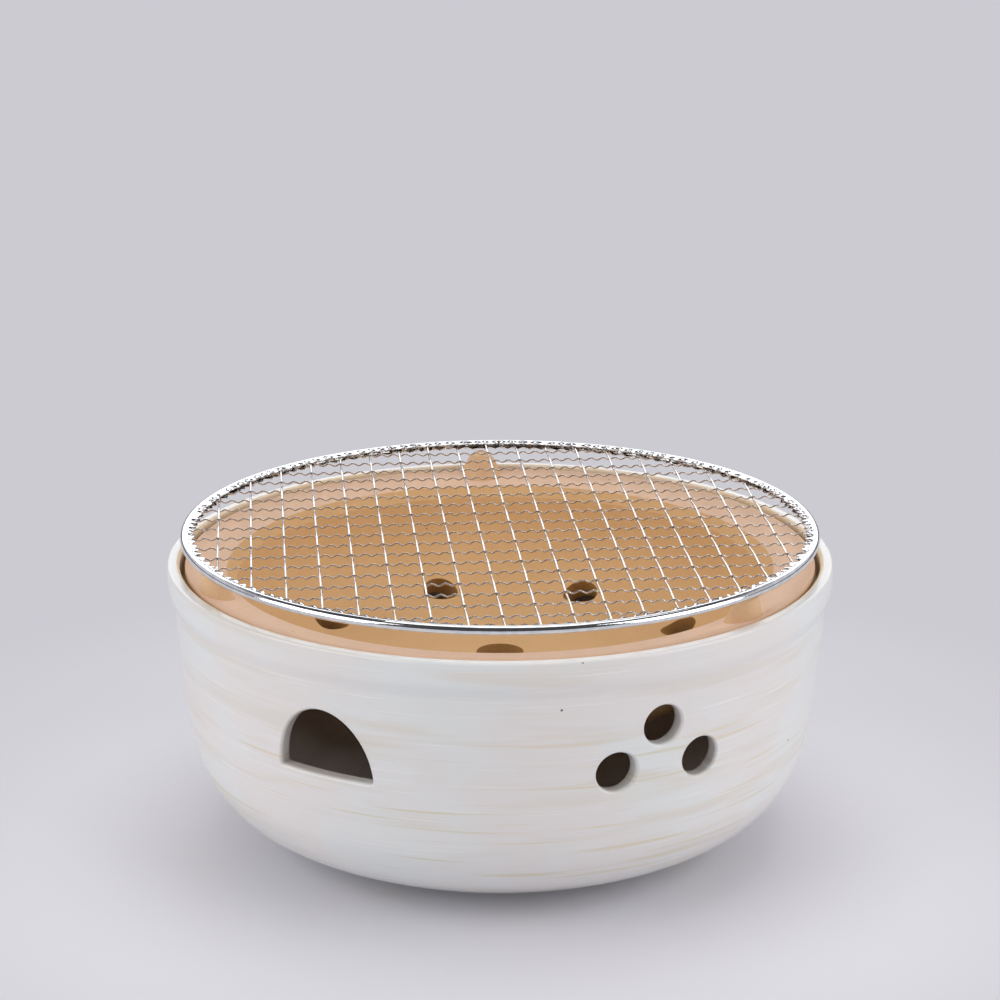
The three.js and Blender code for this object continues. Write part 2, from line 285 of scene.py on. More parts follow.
def white_brushed_glaze():
    """White stoneware glaze put on with a wide brush. It lies thick and shiny, in cool and warm
    patches, with faint level brush marks and some iron specks. On the lower half it is thinner,
    and the buff clay shows through in fine lines."""
    material, tree = start_material("white_brushed_stoneware_glaze")
    thin_top, thin_full = 96 * MM, 60 * MM
    hair = wheel_marks(tree, height=0.5 * MM, length=12 * MM, detail=2)
    brush = wheel_marks(tree, height=0.9 * MM, length=60 * MM, detail=3, roughness=0.6)
    lines = wheel_marks(tree, height=1.5 * MM, length=70 * MM, detail=1)
    bands = wheel_marks(tree, height=8 * MM, length=80 * MM, detail=2)
    cloud = mottled(tree, size=50 * MM, detail=3, roughness=0.6)
    tone = lay_over(tree, hex_colour("#DCDEDE"), "#DFDAD8", cloud, 0.38, 0.62)
    warm = lay_over(tree, tone, "#D9D4CE", bands, 0.50, 0.72)
    pale = lay_over(tree, warm, "#E7E7E6", brush, 0.54, 0.80)
    flecked = lay_over(tree, pale, "#C2BBB5", hair, 0.28, 0.12)
    place = add_node(tree, "ShaderNodeTexCoord").outputs["Object"]
    level = add_node(tree, "ShaderNodeSeparateXYZ", {0: place}).outputs["Z"]
    # The glaze is thin where fine lines lie in a band, low down on the pot
    thin = 1.0
    for pattern, low, high in ((lines, 0.42, 0.27), (bands, 0.38, 0.52), (level, thin_top, thin_full)):
        there = add_node(tree, "ShaderNodeMapRange", {
            "Value": pattern, "From Min": low, "From Max": high}, interpolation_type="SMOOTHSTEP")
        thin = add_node(tree, "ShaderNodeMath", {0: there, 1: thin}, operation="MULTIPLY")
    clay_tone = lay_over(tree, hex_colour("#D3CEBA"), "#D9CCB8", cloud, 0.46, 0.62)
    streaked = add_node(tree, "ShaderNodeMix", {
        0: thin, 6: flecked, 7: clay_tone}, data_type="RGBA").outputs[2]
    specks = scattered(tree, size=7 * MM, edge=0.075, middle=0.045, share=0.07)
    coloured = add_node(tree, "ShaderNodeMix", {
        0: specks, 6: streaked, 7: hex_colour("#5A4A40")}, data_type="RGBA").outputs[2]
    relief = add_node(tree, "ShaderNodeMath", {0: brush, 1: bands}, operation="ADD")
    end_material(tree, {
        "Base Color": coloured, "Roughness": 0.30, "IOR": 1.5, "Coat Weight": 0.5,
        "Coat Roughness": 0.10}, relief, depth=0.2 * MM, strength=0.4)
    return material


def clear_glaze_over_buff():
    """A thin clear glaze on the inside of the pot. The grey-pink clay shows through it."""
    material, tree = start_material("clear_glaze_over_buff_stoneware")
    marks = wheel_marks(tree, height=5 * MM, length=70 * MM, detail=3)
    cloud = mottled(tree, size=50 * MM, detail=2)
    tone = lay_over(tree, hex_colour("#E2D6CC"), "#DED4CC", cloud, 0.35, 0.65)
    marked = lay_over(tree, tone, "#E8E1DB", marks, 0.50, 0.75)
    end_material(tree, {"Base Color": marked, "Roughness": 0.38, "IOR": 1.5},
                 marks, depth=0.2 * MM, strength=0.5)
    return material


def bare_stoneware():
    """Fired stoneware wiped free of glaze: warm cream, quite dull, with a fine sandy tooth."""
    material, tree = start_material("bare_wiped_stoneware")
    marks = wheel_marks(tree, height=2.5 * MM, length=60 * MM, detail=3)
    sand = mottled(tree, size=0.9 * MM, detail=2)
    tone = lay_over(tree, hex_colour("#ECD8B6"), "#EFDFCA", marks, 0.30, 0.70)
    grained = lay_over(tree, tone, "#DDC69E", sand, 0.62, 0.80)
    end_material(tree, {"Base Color": grained, "Roughness": 0.72},
                 sand, depth=0.12 * MM, strength=0.5)
    return material


wheel_turns = 240
wheel, given = start_tree("thrown_on_the_wheel", {
    "Int": ["Turns"], "Float": ["Ring Height", "Ring Depth"]})
# The section stands one metre off the axis and sweeps round a circle of one metre
section = add_node(wheel, "GeometryNodeMeshToCurve", {"Mesh": given["Geometry"]})
turn_path = add_node(wheel, "GeometryNodeCurvePrimitiveCircle",
                     {"Resolution": given["Turns"], "Radius": 1})
swept = add_node(wheel, "GeometryNodeCurveToMesh", {"Curve": turn_path, "Profile Curve": section})
wall_place = add_node(wheel, "GeometryNodeInputPosition")
wall_flat = add_node(wheel, "ShaderNodeVectorMath",
                     {0: wall_place, 1: (1, 1, 0)}, operation="MULTIPLY")
wall_out = add_node(wheel, "ShaderNodeVectorMath", {0: wall_flat}, operation="NORMALIZE")
ring_rate = add_node(wheel, "ShaderNodeMath",
                     {0: 1.0, 1: given["Ring Height"]}, operation="DIVIDE")
wall_parts = add_node(wheel, "ShaderNodeSeparateXYZ", {0: wall_place})
ring_level = add_node(wheel, "ShaderNodeMath",
                      {0: wall_parts.outputs["Z"], 1: ring_rate}, operation="MULTIPLY")
ring_axis = add_node(wheel, "ShaderNodeCombineXYZ", {"Z": ring_level})
ring_place = add_node(wheel, "ShaderNodeVectorMath", {0: wall_out, 1: ring_axis}, operation="ADD")
rings = add_node(wheel, "ShaderNodeTexNoise", {"Vector": ring_place, "Scale": 1, "Detail": 1})
ring_push = add_node(wheel, "ShaderNodeMath", {0: rings, 1: 1.0}, operation="SUBTRACT")
ring_move = add_node(wheel, "ShaderNodeMath",
                     {0: ring_push, 1: given["Ring Depth"]}, operation="MULTIPLY")
# The rings fade out towards the axis, so that the floor closes in one point
ringless_radius = 1 * MM
ringed_radius = 20 * MM
from_axis = add_node(wheel, "ShaderNodeVectorMath", {0: wall_flat}, operation="LENGTH")
axis_fade = add_node(wheel, "ShaderNodeMapRange", {
    "Value": from_axis.outputs["Value"], "From Min": ringless_radius, "From Max": ringed_radius},
    interpolation_type="SMOOTHSTEP")
faded_move = add_node(wheel, "ShaderNodeMath", {0: ring_move, 1: axis_fade}, operation="MULTIPLY")
wall_move = add_node(wheel, "ShaderNodeVectorMath",
                     {0: wall_out, "Scale": faded_move}, operation="SCALE")
thrown = add_node(wheel, "GeometryNodeSetPosition", {"Geometry": swept, "Offset": wall_move})
pole_gap = 0.01 * MM
closed = add_node(wheel, "GeometryNodeMergeByDistance", {"Geometry": thrown, "Distance": pole_gap})
end_tree(wheel, closed, given["Material"])


def throw(name, line, material, ring_height, ring_depth):
    """Turns a section of (radius, height) points into a closed pot with faces pointing out."""
    points = [(radius - 1, -height, 0) for radius, height in line]
    edges = [(i, i + 1) for i in range(len(points) - 1)]
    piece = grow(name, wheel, {
        "Turns": wheel_turns, "Ring Height": ring_height, "Ring Depth": ring_depth,
        "Material": material}, points, edges)
    face_out(piece)
    return piece


def face_out(piece):
    """Turns the faces of a closed mesh outwards."""
    work = bmesh.new()
    work.from_mesh(piece.data)
    bmesh.ops.recalc_face_normals(work, faces=work.faces)
    work.to_mesh(piece.data)
    work.free()


def loft(name, loops, material):
    """A closed solid through loops of points, with a flat face at each end."""
    count = len(loops[0])
    vertices = [point for loop in loops for point in loop]
    faces = [tuple(reversed(range(count)))]
    for level in range(len(loops) - 1):
        for i in range(count):
            low, high = level * count, (level + 1) * count
            beside = (i + 1) % count
            faces.append((low + i, low + beside, high + beside, high + i))
    last = (len(loops) - 1) * count
    faces.append(tuple(range(last, last + count)))
    piece = build(name, vertices, faces=faces, material=material)
    face_out(piece)
    return piece


def carve(piece, tools, operation="DIFFERENCE"):
    """Cuts tools out of a piece, or joins them to it, and removes the tools."""
    name = piece.name
    for tool in tools:
        modifier = piece.modifiers.new(operation.lower(), "BOOLEAN")
        modifier.operation = operation
        modifier.solver = "EXACT"
        modifier.material_mode = "TRANSFER"
        modifier.object = tool
    mesh = settled_mesh(piece)
    for tool in tools:
        bpy.data.objects.remove(tool)
    work = bmesh.new()
    work.from_mesh(mesh)
    bmesh.ops.remove_doubles(work, verts=work.verts, dist=pole_gap)
    bmesh.ops.triangulate(work, faces=[face for face in work.faces if len(face.verts) > 4])
    work.to_mesh(mesh)
    work.free()
    sharpest_smooth = math.radians(25)
    mesh.shade_smooth()
    mesh.set_sharp_from_angle(angle=sharpest_smooth)
    return link_piece(name, mesh)


def foot_line(inner, outer, hollow, slope, height):
    """The line of a foot ring, from the axis under a pot to the outer side of its foot."""
    return round_corners([
        (0, hollow, 0), (inner - slope, hollow, foot_round), (inner, 0, foot_round),
        (outer, 0, foot_round), (outer, height * foot_side_share, foot_round)])


wall_radius = bowl_radius - lip_step
wall_top = bowl_top - lip_height
rebate_radius = bowl_radius - rebate_wall
nose_radius = rebate_radius - shelf_width
shelf_z = bowl_top - shelf_depth
floor_z = foot_hollow + bowl_floor
cove_z = shelf_z - shelf_thickness - cove_height
wall_rise = wall_top - foot_height
bowl_outside = smooth_line(
    [(out * wall_radius, foot_height + up * wall_rise) for out, up in bowl_shares], wall_steps)
bowl_inner = inset_line(bowl_outside, bowl_wall)
bowl_inside = [point for point in bowl_inner if floor_z + floor_margin < point[1] < cove_z]
hollow_radius = foot_radius - foot_width
bowl_section = foot_line(hollow_radius, foot_radius, foot_hollow, foot_hollow, foot_height)
bowl_section += bowl_outside[1:-2]
bowl_section += round_corners([
    bowl_outside[-2] + (0,), bowl_outside[-1] + (step_round,),
    (bowl_radius, wall_top + step_height, step_round), (bowl_radius, bowl_top, lip_round),
    (rebate_radius, bowl_top, lip_round), (rebate_radius, shelf_z, shelf_corner),
    (nose_radius, shelf_z, shelf_round), (nose_radius, shelf_z - shelf_thickness, shelf_round),
    bowl_inside[-1] + (0,)])
bowl_section += bowl_inside[-2::-1]
bowl_section.append((0, floor_z))

glaze = white_brushed_glaze()
throwing_ring_height = 9 * MM
throwing_ring_depth = 0.22 * MM
bowl = throw("glazed_bowl", bowl_section, glaze, throwing_ring_height, throwing_ring_depth)
bowl.data.materials.append(bare_stoneware())
bowl.data.materials.append(clear_glaze_over_buff())
bare_slot, clear_slot = 1, 2
glaze_line = rebate_radius + lip_round
for face in bowl.data.polygons:
    radius = math.hypot(face.center.x, face.center.y)
    height = face.center.z
    in_pot = radius < radius_at(bowl_outside, height) - bowl_wall / 2
    if height > shelf_z - shelf_thickness and radius < glaze_line:
        face.material_index = bare_slot
    elif height > floor_z - floor_margin and in_pot:
        face.material_index = clear_slot

arch_width = 38 * MM
arch_height = 24.8 * MM
arch_sill = bowl_top - 49 * MM
arch_corner = 1.5 * MM
arch_angles = [239.2, 122.5]
vent_radius = 7.3 * MM
vent_spacing = 33.2 * MM
vent_drop = 15.4 * MM
vent_top = bowl_top - 28.3 * MM
trio_angles = [297.6, 53.2]
edge_round = 1.5 * MM
flare_share = 0.9
flare_proud = 0.1
flare_slope = 60
flare_slope_step = 10
reach_out = 8 * MM
reach_in = 25 * MM
arch_steps = 32
arch_corners = [(arch_width / 2, 0, arch_corner)]
for i in range(1, arch_steps):
    a = math.pi * i / arch_steps
    arch_corners.append((arch_width / 2 * math.cos(a), arch_height * math.sin(a), 0))
arch_corners.append((-arch_width / 2, 0, arch_corner))
# The sill has points along it, so that its rounded edge follows the curve of the wall
for i in range(1, arch_steps):
    share = 2 * i / arch_steps - 1
    arch_corners.append((share * (arch_width / 2 - 2 * arch_corner), 0, 0))
arch_line = round_corners(arch_corners, closed=True)


def turned(out, aside, height, turn):
    """A point so far out from the axis and so far aside, turned round the axis."""
    return (out * math.cos(turn) - aside * math.sin(turn),
            out * math.sin(turn) + aside * math.cos(turn), height)


def vent_tool(line, angle, base):
    """A cutter in the shape of a vent. It widens where it meets the faces of the wall."""
    count = len(line)
    outwards = []
    for i in range(count):
        before, after = line[i - 1], line[(i + 1) % count]
        run = Vector((after[0] - before[0], after[1] - before[1])).normalized()
        outwards.append((run.y, -run.x))
    flare = [(flare_share, -flare_proud)]
    for degrees in range(flare_slope, -1, -flare_slope_step):
        slope = math.radians(degrees)
        flare.append((1 - math.cos(slope), 1 - math.sin(slope)))
    rows = [(None, flare_share, bowl_radius + reach_out)]
    rows += [(1, offset, depth) for offset, depth in flare]
    rows += [(-1, offset, depth) for offset, depth in reversed(flare)]
    rows += [(None, flare_share, nose_radius - reach_in)]
    turn = math.radians(angle)
    loops = []
    for side, offset, depth in rows:
        loop = []
        for (across, up), (out_x, out_y) in zip(line, outwards):
            aside = across + out_x * offset * edge_round
            height = base + up + out_y * offset * edge_round
            if side is None:
                out = depth
            else:
                wall = radius_at(bowl_outside if side > 0 else bowl_inner, height)
                out = math.sqrt(wall ** 2 - aside ** 2) - side * depth * edge_round
            loop.append(turned(out, aside, height, turn))
        loops.append(loop)
    return loft("vent_tool", loops, glaze)


vent_steps = 48
vent_line = [(vent_radius * math.cos(a), vent_radius * math.sin(a)) for a in round_angles(vent_steps)]
vent_tools = [vent_tool(arch_line, angle, arch_sill) for angle in arch_angles]
trio = [(0, vent_top)]
trio.append((vent_spacing / 2, vent_top - vent_drop))
trio.append((-vent_spacing / 2, vent_top - vent_drop))
for angle in trio_angles:
    for aside, height in trio:
        placed = [(x + aside, y) for x, y in vent_line]
        vent_tools.append(vent_tool(placed, angle, height))
bowl = carve(bowl, vent_tools)
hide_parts("outer_bowl")
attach(bowl, "outer_bowl")

# Fire bowl: a thick unglazed pot of sandy clay that holds the charcoal. Its collar seats on the
# shelf of the outer bowl, and air comes up through nine holes in its hearth. Three lugs are
# luted on to its sloping rim before firing, and carry the net.
fire_low, fire_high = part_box("fire_bowl")
fire_base = fire_low.z
body_depth = 50.2 * MM
collar_radius = fire_high.x
seat_clearance = 3 * MM
body_radius = nose_radius - seat_clearance
fire_wall = 8.5 * MM
lug_height = 8 * MM
fire_rim = fire_high.z - fire_base - lug_height
hearth_depth = 39.5 * MM
hearth_z = fire_rim - hearth_depth
mouth_radius = 103 * MM
mouth_round = 2.5 * MM
rim_drop = 3.3 * MM
rim_round = 5 * MM
collar_taper = 5.5 * MM
collar_round = 6 * MM
hearth_round = 12 * MM
fire_foot_radius = 45 * MM
fire_foot_width = 9 * MM
fire_foot_height = 3 * MM
fire_foot_hollow = 7 * MM
fire_steps = 50
fire_shares = [
    (0.503, 0), (0.596, 0.064), (0.726, 0.222), (0.847, 0.411), (0.925, 0.602), (0.972, 0.794),
    (1, 1),
]


def fired_clay(name, clay, sand, pit_share, band=None):
    """Low-fired sandy clay: dull and porous, nearly even in colour, with fine grains of sand
    that stand up a little, and small pits where grains came out, painted dark as the shade in them."""
    material, tree = start_material(name)
    grains = mottled(tree, size=0.7 * MM, detail=3, roughness=0.65)
    cloud = mottled(tree, size=30 * MM, detail=3)
    marks = wheel_marks(tree, height=1.8 * MM, length=40 * MM, detail=2)
    light_share = add_node(tree, "ShaderNodeMapRange", {
        "Value": cloud, "From Min": 0.3, "From Max": 0.7, "To Min": 0.35, "To Max": 0.0})
    tone = add_node(tree, "ShaderNodeMix", {
        0: light_share, 6: hex_colour(clay), 7: hex_colour(sand)}, data_type="RGBA").outputs[2]
    if band:
        tone = lay_over(tree, tone, band, marks, 0.40, 0.70)
    sandy = add_node(tree, "ShaderNodeMapRange", {
        "Value": grains, "From Min": 0.49, "From Max": 0.26, "To Min": 0.0, "To Max": 0.9})
    grained = add_node(tree, "ShaderNodeMix", {
        0: sandy, 6: tone, 7: hex_colour(sand)}, data_type="RGBA").outputs[2]
    pits = scattered(tree, size=3.0 * MM, edge=0.15, middle=0.08, share=pit_share)
    # Painted shade: the pits take a dark colour for the shade inside them
    pit_shaded = add_node(tree, "ShaderNodeMix", {
        0: pits, 6: grained, 7: hex_colour("#8A6238")}, data_type="RGBA").outputs[2]
    relief = add_node(tree, "ShaderNodeMath", {0: grains, 1: pits}, operation="SUBTRACT")
    end_material(tree, {"Base Color": pit_shaded, "Roughness": 0.85},
                 relief, depth=0.2 * MM, strength=0.6)
    return material


fire_rise = body_depth - fire_foot_height
fire_outside = smooth_line(
    [(out * body_radius, fire_foot_height + up * fire_rise) for out, up in fire_shares],
    fire_steps)
fire_inner = inset_line(fire_outside, fire_wall)
fire_inside = [point for point in fire_inner if point[1] > hearth_z + hearth_round / 4]
fire_hollow = fire_foot_radius - fire_foot_width
fire_section = foot_line(
    fire_hollow, fire_foot_radius, fire_foot_hollow, fire_foot_hollow / 2, fire_foot_height)
fire_section += fire_outside[1:-1]
fire_section += round_corners([
    fire_outside[-1] + (0,), (collar_radius - collar_taper, body_depth, collar_round / 4),
    (collar_radius, body_depth + collar_taper, collar_round), (collar_radius, fire_rim, rim_round),
    (mouth_radius, fire_rim - rim_drop, mouth_round), fire_inside[-1] + (0,)])
fire_section += fire_inside[-2:0:-1]
hearth_radius = radius_at(fire_inner, hearth_z)
fire_section += round_corners([
    fire_inside[0] + (0,), (hearth_radius, hearth_z, hearth_round), (0, hearth_z, 0)])[1:]

body_clay = fired_clay("sandy_clay_wood_fired", "#D8AE77", "#BE9361", 0.12)
fire_seated = [(radius, height + fire_base) for radius, height in fire_section]
fire_ring_depth = 0.3 * MM
fire = throw("clay_fire_bowl", fire_seated, body_clay, throwing_ring_height, fire_ring_depth)
fire.data.materials.append(
    fired_clay("sandy_clay_ash_dusted", "#DBC6AE", "#C6AF94", 0.16, "#DBCFC3"))
fire.data.materials.append(fired_clay("sandy_clay_wet_smoothed", "#E9C6AC", "#DDB697", 0.04))
fire.data.materials.append(fired_clay("sandy_clay_fire_side_and_edge_shade", "#DBB180", "#CCA06A", 0.03))
dusted_slot, smoothed_slot, fire_side_and_edge_shade_slot = 1, 2, 3
# A darker line is painted round the rim's rounded outer edge, just under its crest: painted shade
# where the rim turns down into the collar
edge_low = fire_rim - 2.9 * MM
edge_high = fire_rim - 1.3 * MM
edge_inset = 1.5 * MM
level_margin = 0.5 * MM
mouth_margin = 0.2 * MM
for face in fire.data.polygons:
    radius = math.hypot(face.center.x, face.center.y)
    height = face.center.z - fire_base
    on_edge = radius > collar_radius - edge_inset and height < edge_high
    on_rim = height > fire_rim - rim_drop - mouth_margin and radius > mouth_radius - mouth_margin
    on_collar = radius > body_radius and height > body_depth - level_margin
    in_pot = radius < radius_at(fire_outside, height) - fire_wall / 2
    # Painted shade: the rounded outer edge of the rim takes the darker fire-side clay
    if on_edge and height > edge_low:
        face.material_index = fire_side_and_edge_shade_slot
    elif on_edge and on_collar:
        face.material_index = dusted_slot
    elif on_rim:
        face.material_index = smoothed_slot
    elif on_collar:
        face.material_index = dusted_slot
    elif in_pot and height > hearth_z - level_margin:
        face.material_index = fire_side_and_edge_shade_slot

lug_width = 17 * MM
lug_inset = 1 * MM
lug_base_thickness = 13 * MM
lug_top_thickness = 7 * MM
lug_root = 2.6 * MM
lug_squeeze = 2.6
lug_sides = 40
lug_levels = 18
lug_angles = [94, 204, 320]
lug_foot = (1.16, 0)
lug_shares = [
    (1.16, 0.10), (1.02, 0.24), (0.90, 0.42), (0.78, 0.62), (0.62, 0.80), (0.42, 0.93), (0.20, 1),
]
lug_clay = fired_clay("sandy_clay_luted_on", "#E0BC96", "#D0A67E", 0.05)


def lug(angle):
    """A tongue of clay pressed on to the rim, wider at its root and rounded at its top."""
    rise = lug_height + rim_drop + lug_root
    base = fire_base + fire_rim - rim_drop - lug_root
    turn = math.radians(angle)
    loops = []
    for across, up in [lug_foot] + smooth_line(lug_shares, lug_levels):
        thickness = lug_base_thickness + (lug_top_thickness - lug_base_thickness) * up
        middle = collar_radius - lug_inset - thickness / 2
        squeeze = min(1, lug_squeeze * across)
        loop = []
        for a in round_angles(lug_sides):
            out = middle + thickness / 2 * squeeze * math.cos(a)
            aside = lug_width / 2 * across * math.sin(a)
            loop.append(turned(out, aside, base + rise * up, turn))
        loops.append(loop)
    return loft("lug_tool", loops, lug_clay)


middle_hole_radius = 9 * MM
air_hole_radius = 7 * MM
air_hole_circle = 74.5 * MM
air_hole_tilt = math.radians(30)
air_hole_count = 8
air_hole_turn = 19
hole_sides = 36
hole_reach = 18 * MM
# The walls of the air holes take a darker clay: painted shade inside the holes
hole_shade_clay = fired_clay("sandy_clay_hole_shade", "#C0965F", "#A67C48", 0.05)


def hole_tool(radius, distance, tilt, angle, reach):
    """A round cutter through the hearth, tilted to stand square to the wall."""
    turn = math.radians(angle)
    loops = []
    for along in (-reach, reach):
        loop = []
        for a in round_angles(hole_sides):
            across, aside = radius * math.cos(a), radius * math.sin(a)
            out = distance + across * math.cos(tilt) - along * math.sin(tilt)
            up = fire_base + hearth_z + across * math.sin(tilt) + along * math.cos(tilt)
            loop.append(turned(out, aside, up, turn))
        loops.append(loop)
    return loft("hole_tool", loops, hole_shade_clay)


fire = carve(fire, [lug(angle) for angle in lug_angles], "UNION")
hole_tools = [hole_tool(middle_hole_radius, 0, 0, 0, 2 * hole_reach)]
for i in range(air_hole_count):
    angle = air_hole_turn + 360 * i / air_hole_count
    hole_tools.append(
        hole_tool(air_hole_radius, air_hole_circle, air_hole_tilt, angle, hole_reach))
fire = carve(fire, hole_tools)
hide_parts("fire_bowl")
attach(fire, "fire_bowl")

# Net, straight wires: steel wire cut to length, welded into the rim band and chrome-plated.
# They run from front to back and are the stiff ones.
band_low, band_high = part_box("net_rim_band")
net_radius = band_high.x
net_z = (band_low.z + band_high.z) / 2
band_half = (band_high.z - band_low.z) / 2
band_width = 5.5 * MM
band_inner = net_radius - band_width
wire_tuck = 2.6 * MM
wire_end = band_inner + wire_tuck
wire_count = 18
net_margin_share = 0.77
net_shift_share = -0.164
opening = 2 * band_inner / (wire_count + net_margin_share)
first_straight = (net_shift_share - (wire_count - 1) / 2) * opening
straight_radius = 0.45 * MM
straight_sides = 12
straight_sway = 0.25 * MM
straight_points = 150
shortest_rung = 0.1 * MM
net_turn = math.radians(5)


def chromed_steel(name, dull, bright, roughness, wrinkle_size, wrinkle_depth):
    """Bright chrome plate on drawn steel: a mirror that is a little uneven, as the plating
    follows the drawing marks and the dents of the metal under it."""
    material, tree = start_material(name)
    dents = mottled(tree, size=wrinkle_size, detail=2)
    tone = lay_over(tree, hex_colour(dull), bright, dents, 0.35, 0.65)
    end_material(tree, {"Base Color": tone, "Metallic": 1, "Roughness": roughness},
                 dents, depth=wrinkle_depth, strength=0.5)
    return material


def wires_only(tree, lattice, across):
    """Takes the rungs, which run across, out of a lattice of lines, so that the wires are left."""
    ends = add_node(tree, "GeometryNodeInputMeshEdgeVertices").outputs
    run = add_node(tree, "ShaderNodeVectorMath",
                   {0: ends["Position 1"], 1: ends["Position 2"]}, operation="SUBTRACT")
    run_parts = add_node(tree, "ShaderNodeSeparateXYZ", {0: run}).outputs
    rung = add_node(tree, "ShaderNodeMath", {0: run_parts[across]}, operation="ABSOLUTE")
    is_rung = add_node(tree, "ShaderNodeMath",
                       {0: rung, 1: shortest_rung}, operation="GREATER_THAN")
    return add_node(tree, "GeometryNodeDeleteGeometry",
                    {"Geometry": lattice, "Selection": is_rung}, domain="EDGE", mode="EDGE_FACE")


def draw_wires(tree, given, lines, place, sides):
    """Turns lines to their angle in the net and draws round wire along them."""
    turned_place = add_node(tree, "ShaderNodeVectorRotate",
                            {"Vector": place, "Angle": given["Turn"]}, rotation_type="Z_AXIS")
    set_turned = add_node(tree, "GeometryNodeSetPosition",
                          {"Geometry": lines, "Position": turned_place})
    paths = add_node(tree, "GeometryNodeMeshToCurve", {"Mesh": set_turned})
    wire_section = add_node(tree, "GeometryNodeCurvePrimitiveCircle",
                            {"Resolution": sides, "Radius": given["Wire Radius"]})
    drawn = add_node(tree, "GeometryNodeCurveToMesh", {
        "Curve": paths, "Profile Curve": wire_section, "Fill Caps": True})
    end_tree(tree, drawn, given["Material"])


wire_chrome = chromed_steel(
    "chrome_plate_on_drawn_wire", "#D6D2CF", "#E9E6E3", 0.16, 1.5 * MM, 0.05 * MM)
tree, given = start_tree("straight_wires", {
    "Int": ["Count", "Points"],
    "Float": ["Opening", "Shift", "Sway", "End Radius", "Wire Radius", "Height", "Turn"]})
count_less = add_node(tree, "ShaderNodeMath", {0: given["Count"], 1: 1.0}, operation="SUBTRACT")
field_width = add_node(tree, "ShaderNodeMath",
                       {0: count_less, 1: given["Opening"]}, operation="MULTIPLY")
ladder = add_node(tree, "GeometryNodeMeshGrid", {
    "Size X": field_width, "Size Y": 1.0,
    "Vertices X": given["Count"], "Vertices Y": given["Points"]})
ladder_place = add_node(tree, "GeometryNodeInputPosition")
ladder_parts = add_node(tree, "ShaderNodeSeparateXYZ", {0: ladder_place}).outputs
wire_x = add_node(tree, "ShaderNodeMath",
                  {0: ladder_parts["X"], 1: given["Shift"]}, operation="ADD")
end_square = add_node(tree, "ShaderNodeMath", {0: given["End Radius"], 1: 2.0}, operation="POWER")
x_square = add_node(tree, "ShaderNodeMath", {0: wire_x, 1: wire_x}, operation="MULTIPLY")
y_square = add_node(tree, "ShaderNodeMath", {0: end_square, 1: x_square}, operation="SUBTRACT")
half_chord = add_node(tree, "ShaderNodeMath", {0: y_square}, operation="SQRT")
along = add_node(tree, "ShaderNodeMath", {0: ladder_parts["Y"], 1: 2.0}, operation="MULTIPLY")
wire_y = add_node(tree, "ShaderNodeMath", {0: half_chord, 1: along}, operation="MULTIPLY")
# Each crossing pushes the wire away from the crimp that passes it there
across_turns = add_node(tree, "ShaderNodeMath",
                        {0: ladder_parts["X"], 1: wire_y}, operation="ADD")
crossing = add_node(tree, "ShaderNodeMath",
                    {0: across_turns, 1: given["Opening"]}, operation="DIVIDE")
crossing_number = add_node(tree, "ShaderNodeMath", {0: crossing, 1: count_less}, operation="ADD")
sway_angle = add_node(tree, "ShaderNodeMath",
                      {0: crossing_number, 1: math.pi}, operation="MULTIPLY")
sway_wave = add_node(tree, "ShaderNodeMath", {0: sway_angle}, operation="COSINE")
sway_down = add_node(tree, "ShaderNodeMath",
                     {0: sway_wave, 1: given["Sway"]}, operation="MULTIPLY")
wire_z = add_node(tree, "ShaderNodeMath",
                  {0: given["Height"], 1: sway_down}, operation="SUBTRACT")
wire_place = add_node(tree, "ShaderNodeCombineXYZ", {"X": wire_x, "Y": wire_y, "Z": wire_z})
uprights = wires_only(tree, ladder, "X")
set_out = add_node(tree, "GeometryNodeSetPosition",
                   {"Geometry": uprights, "Position": wire_place})
draw_wires(tree, given, set_out, ladder_place, straight_sides)
straight_shift = first_straight + (wire_count - 1) / 2 * opening
straight = grow("net_straight_wires", tree, {
    "Count": wire_count, "Points": straight_points, "Opening": opening, "Shift": straight_shift,
    "Sway": straight_sway, "End Radius": wire_end, "Wire Radius": straight_radius,
    "Height": net_z, "Turn": net_turn, "Material": wire_chrome})
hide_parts(*[f"net_straight_wire_{i:02d}" for i in range(1, wire_count + 1)])
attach(straight, "net")

# Net, crimped wires: thinner steel wire waved between rollers, then woven over and under the
# straight wires from left to right. The waves lock the mesh and keep the openings even.
waves_per_opening = 2.5
wave_length = opening / waves_per_opening
points_per_wave = 10
crimped_radius = 0.32 * MM
crimped_sides = 8
crimp_rise = 0.50 * MM
crimp_point_share = 0.45
tree, given = start_tree("crimped_wires", {
    "Int": ["Count", "Points"],
    "Float": ["Opening", "Wave Length", "Wave Start", "Rise", "End Radius", "Wire Radius",
              "Height", "Turn"]})
rows_less = add_node(tree, "ShaderNodeMath", {0: given["Count"], 1: 1.0}, operation="SUBTRACT")
rows_depth = add_node(tree, "ShaderNodeMath",
                      {0: rows_less, 1: given["Opening"]}, operation="MULTIPLY")
rows_width = add_node(tree, "ShaderNodeMath",
                      {0: given["End Radius"], 1: 2.0}, operation="MULTIPLY")
rows = add_node(tree, "GeometryNodeMeshGrid", {
    "Size X": rows_width, "Size Y": rows_depth,
    "Vertices X": given["Points"], "Vertices Y": given["Count"]})
row_place = add_node(tree, "GeometryNodeInputPosition")
row_parts = add_node(tree, "ShaderNodeSeparateXYZ", {0: row_place}).outputs
cross_wires = wires_only(tree, rows, "Y")
row_reach = add_node(tree, "ShaderNodeVectorMath", {0: row_place}, operation="LENGTH")
is_outside = add_node(tree, "ShaderNodeMath", {
    0: row_reach.outputs["Value"], 1: given["End Radius"]}, operation="GREATER_THAN")
rows_cut = add_node(tree, "GeometryNodeDeleteGeometry",
                    {"Geometry": cross_wires, "Selection": is_outside}, domain="POINT")
